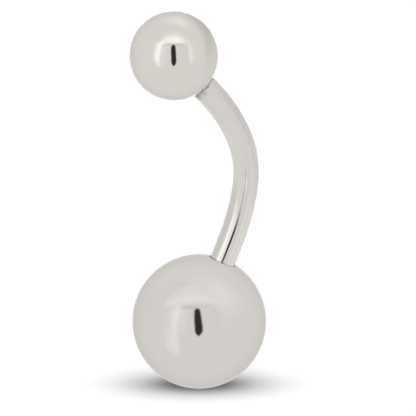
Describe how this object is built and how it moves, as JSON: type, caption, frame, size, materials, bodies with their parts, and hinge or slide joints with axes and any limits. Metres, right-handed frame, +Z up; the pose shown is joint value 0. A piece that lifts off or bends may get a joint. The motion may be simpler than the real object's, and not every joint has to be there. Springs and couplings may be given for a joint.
{
  "type": "navel ring",
  "caption": "Bent barbell of polished metal for a navel piercing, with a large ball fixed below and a small ball that screws off above.",
  "frame": {"origin": "on the surface that the ring lies on, under the middle of its box", "axes": "+Z up; +Y from the large ball to the small ball; +X to the side that the bar bends out to"},
  "size_m": [0.008, 0.0224, 0.008],
  "materials": {
    "bar_metal": "surgical steel, drawn, bent and polished bright",
    "top_ball_metal": "surgical steel, turned and mirror polished",
    "bottom_ball_metal": "surgical steel, turned and mirror polished"
  },
  "bodies": {
    "ring": {"bar": "bar_metal", "bottom_ball": "bottom_ball_metal"},
    "screw_ball": {"top_ball": "top_ball_metal"}
  },
  "joints": [
    {"name": "top_ball_unscrew", "type": "slide", "parent": "ring", "child": "screw_ball", "axis": [-0.4706, 0.816, 0.3357], "range_m": [0, 0.003]}
  ]
}
